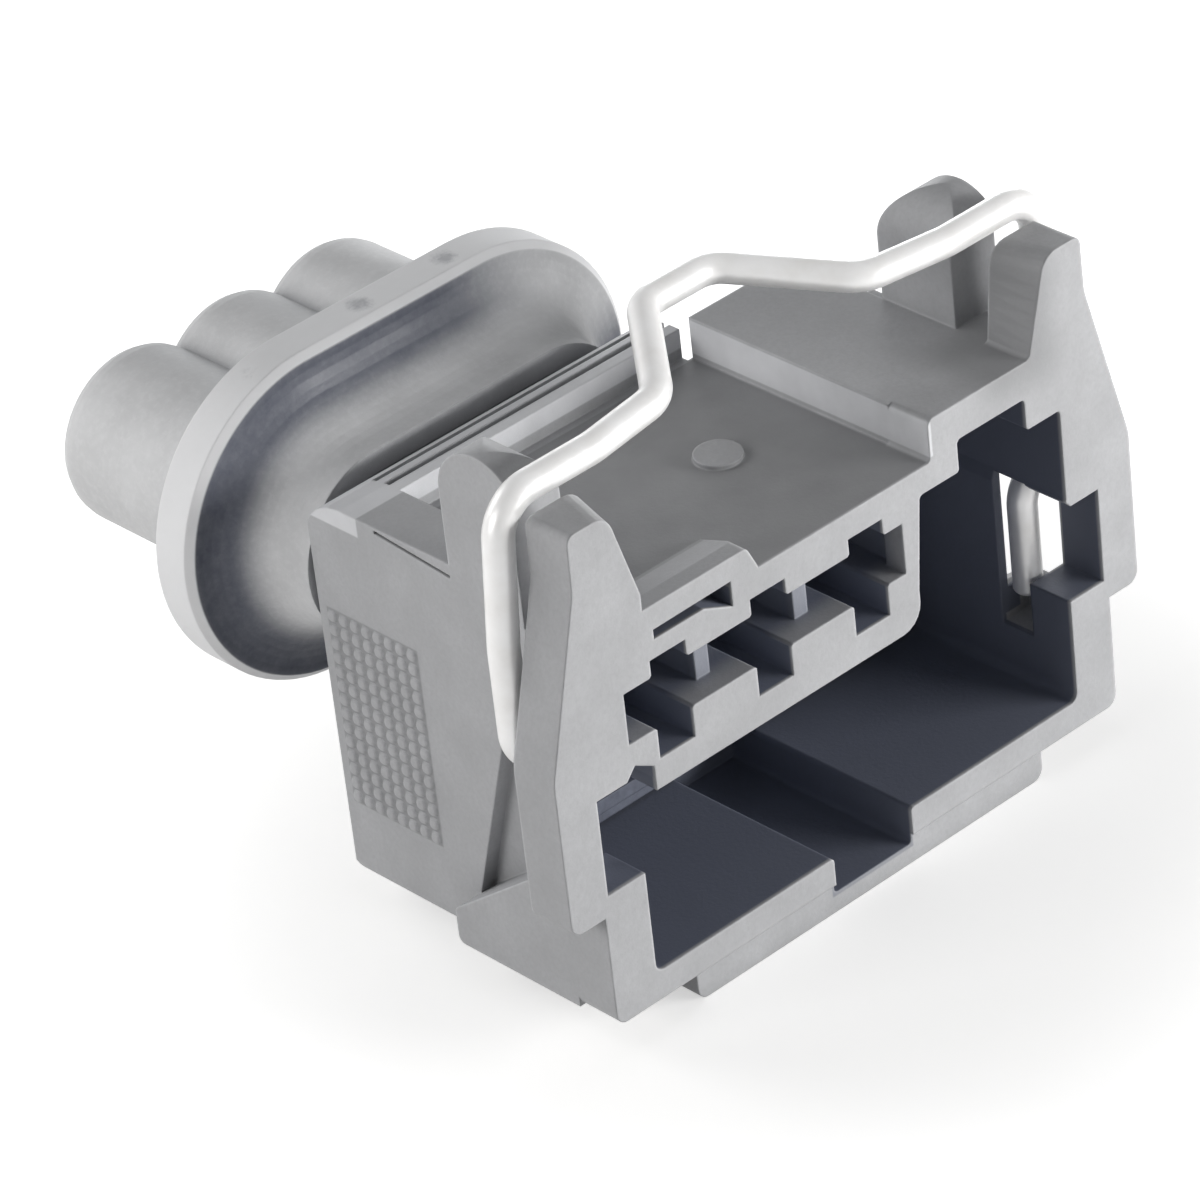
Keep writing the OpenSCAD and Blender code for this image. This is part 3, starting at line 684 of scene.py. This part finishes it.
# Each light: its name, its place and its aim from the plug's middle, width, height and colour
MIDDLE = placed(-0.5, 12, 9)
LIGHTS = (
    ("key", (0.12, -0.16, 0.03), (0, 0, 0), 0.12, 0.05, (1.0, 0.995, 0.985)),
    ("side", (-0.25, 0.04, 0.095), (0, 0, 0), 0.14, 0.10, (1.0, 0.99, 0.98)),
    ("back", (-0.05, 0.09, 0.06), (0, 0.012, 0), 0.06, 0.06, (1.0, 0.995, 0.985)),
    ("fill", (0.20, 0.20, 0.03), (0, 0, 0), 0.12, 0.06, (0.97, 0.985, 1.0)),
)
AMBIENT_COLOUR = (0.95, 0.97, 1.0, 1)
FLOOR_SIZE = 4.0
FLOOR_DARK, FLOOR_LIGHT = (0.80, 0.795, 0.785), (0.82, 0.815, 0.805)
# The floor's own glow is weak within the first reach round the plug and full beyond the second.
FLOOR_NEAR, FLOOR_FAR, FLOOR_GLOW = 0.014, 0.038, 0.52
# The camera's lens and sensor, the point it aims at, and how far that point is moved across and
# upright, in millimetres
LENS, SENSOR = 194.28, 36
AIM = placed(0, 6, 9)
AIM_ACROSS, AIM_UPRIGHT = -5.218, 0.132


def area_light(name, place, aim, width, height, power, colour):
    """A rectangular light that only lights: the camera doesn't see it."""
    data = bpy.data.lights.new(name, "AREA")
    data.shape, data.size, data.size_y = "RECTANGLE", width, height
    data.energy, data.color = power, colour
    obj = bpy.data.objects.new(name, data)
    obj.location = place
    obj.rotation_mode = "QUATERNION"
    obj.rotation_quaternion = (aim - place).to_track_quat("-Z", "Y")
    obj.visible_camera = False
    bpy.context.scene.collection.objects.link(obj)


def seen_directly(tree):
    """1 on camera, glossy and transmission rays, which should meet the white backdrop."""
    rays = tree.nodes.new("ShaderNodeLightPath")
    total = rays.outputs["Is Camera Ray"]
    for name in ("Is Glossy Ray", "Is Transmission Ray"):
        either = tree.nodes.new("ShaderNodeMath")
        either.operation = "MAXIMUM"
        tree.links.new(total, either.inputs[0])
        tree.links.new(rays.outputs[name], either.inputs[1])
        total = either.outputs[0]
    return total


def light_world(scene, ambient):
    """A dim even light all round, which is seen directly as white."""
    world = bpy.data.worlds.new("studio")
    scene.world = world
    world.use_nodes = True
    tree = world.node_tree
    tree.nodes.clear()
    out = tree.nodes.new("ShaderNodeOutputWorld")
    mixer = tree.nodes.new("ShaderNodeMixShader")
    dim = tree.nodes.new("ShaderNodeBackground")
    white = tree.nodes.new("ShaderNodeBackground")
    dim.inputs["Strength"].default_value = ambient
    dim.inputs["Color"].default_value = AMBIENT_COLOUR
    white.inputs["Color"].default_value = (1, 1, 1, 1)
    tree.links.new(seen_directly(tree), mixer.inputs[0])
    tree.links.new(dim.outputs[0], mixer.inputs[1])
    tree.links.new(white.outputs[0], mixer.inputs[2])
    tree.links.new(mixer.outputs[0], out.inputs["Surface"])


def lay_floor():
    """A pale floor that glows when it is seen directly, less so round the plug. The distance from
    the plug is (x^2 + y^2)^0.5."""
    bpy.ops.mesh.primitive_plane_add(size=FLOOR_SIZE, location=(0, 0, 0))
    floor = bpy.context.object
    floor.name = "floor"
    n = Nodes("floor")
    x, y, _ = n.axes()
    far = n.maths("POWER", n.maths("ADD", n.maths("POWER", x, 2.0), n.maths("POWER", y, 2.0)), 0.5)
    near = n.spread(far, FLOOR_NEAR, FLOOR_FAR, 1.0, 0.0, smooth=True)
    grain = n.noise(40, 2)
    n.plug(n.mix(n.spread(grain, 0.3, 0.7), FLOOR_DARK, FLOOR_LIGHT), n.shader.inputs["Base Color"])
    n.shader.inputs["Roughness"].default_value = 0.9
    n.shader.inputs["Specular IOR Level"].default_value = 0.1
    glow = n.add("ShaderNodeEmission")
    direct = seen_directly(n.tree)
    n.plug(n.times(direct, n.spread(near, 0, 1, 1.0, FLOOR_GLOW)), glow.inputs["Strength"])
    total = n.add("ShaderNodeAddShader")
    n.tree.links.new(n.shader.outputs[0], total.inputs[0])
    n.tree.links.new(glow.outputs[0], total.inputs[1])
    output = next(x for x in n.tree.nodes if x.type == "OUTPUT_MATERIAL")
    n.tree.links.new(total.outputs[0], output.inputs["Surface"])
    floor.data.materials.append(n.material)


def aim_camera(scene, settings):
    """A camera that looks at its aim along -away, with its right along across and its top along
    upright."""
    azimuth, elevation, roll = settings.azimuth, settings.elevation, settings.roll
    camera_data = bpy.data.cameras.new("camera")
    camera = bpy.data.objects.new("camera", camera_data)
    scene.collection.objects.link(camera)
    scene.camera = camera
    away = Vector((math.sin(azimuth) * math.cos(elevation),
                   -math.cos(azimuth) * math.cos(elevation), math.sin(elevation)))
    level = Vector((math.cos(azimuth), math.sin(azimuth), 0))
    rising = away.cross(level)
    across = level * math.cos(roll) + rising * math.sin(roll)
    upright = rising * math.cos(roll) - level * math.sin(roll)
    aim = AIM + across * AIM_ACROSS * MM + upright * AIM_UPRIGHT * MM
    turn = Matrix((across, upright, away)).transposed().to_4x4()
    camera.matrix_world = Matrix.Translation(aim + away * settings.distance) @ turn
    camera_data.lens, camera_data.sensor_width = LENS, SENSOR
    camera_data.clip_start, camera_data.clip_end = 0.01, 20


class PLUG_OT_stage(bpy.types.Operator):
    """Set up the floor, the lights and the camera"""
    bl_idname = "plug.stage"
    bl_label = "Stage"

    def execute(self, context):
        scene, settings = context.scene, context.scene.plug_stage
        scene.view_settings.view_transform = "Standard"
        light_world(scene, settings.ambient)
        lay_floor()
        for name, place, aim, width, height, colour in LIGHTS:
            area_light(name, MIDDLE + Vector(place), MIDDLE + Vector(aim), width, height,
                       getattr(settings, f"{name}_power"), colour)
        aim_camera(scene, settings)
        return {"FINISHED"}


class PLUG_PT_panel(bpy.types.Panel):
    """Lists the plug's pieces and settings"""
    bl_idname = "PLUG_PT_panel"
    bl_label = "Sealed plug"
    bl_space_type = "VIEW_3D"
    bl_region_type = "UI"
    bl_category = "Plug"

    def draw(self, context):
        for operator in OPERATORS:
            self.layout.operator(operator.bl_idname)
        for group in GROUPS:
            settings = getattr(context.scene, group)
            for name in settings.bl_rna.properties.keys():
                if name not in {"rna_type", "name"}:
                    self.layout.prop(settings, name)


GROUPS = {
    "plug_plastic": PlasticSettings,
    "plug_rubber": RubberSettings,
    "plug_wire": WireSettings,
    "plug_stage": StageSettings,
}
OPERATORS = (PLUG_OT_housing, PLUG_OT_wire_clip, PLUG_OT_boot, PLUG_OT_inside, PLUG_OT_stage)


def register():
    for name, group in GROUPS.items():
        bpy.utils.register_class(group)
        setattr(bpy.types.Scene, name, PointerProperty(type=group))
    for item in (*OPERATORS, PLUG_PT_panel):
        bpy.utils.register_class(item)


def unregister():
    for item in reversed((*OPERATORS, PLUG_PT_panel)):
        bpy.utils.unregister_class(item)
    for name, group in GROUPS.items():
        delattr(bpy.types.Scene, name)
        bpy.utils.unregister_class(group)


def main():
    register()
    bpy.ops.plug.housing()
    bpy.ops.plug.wire_clip()
    bpy.ops.plug.boot()
    bpy.ops.plug.inside()
    bpy.ops.plug.stage()


if __name__ == "__main__":
    main()
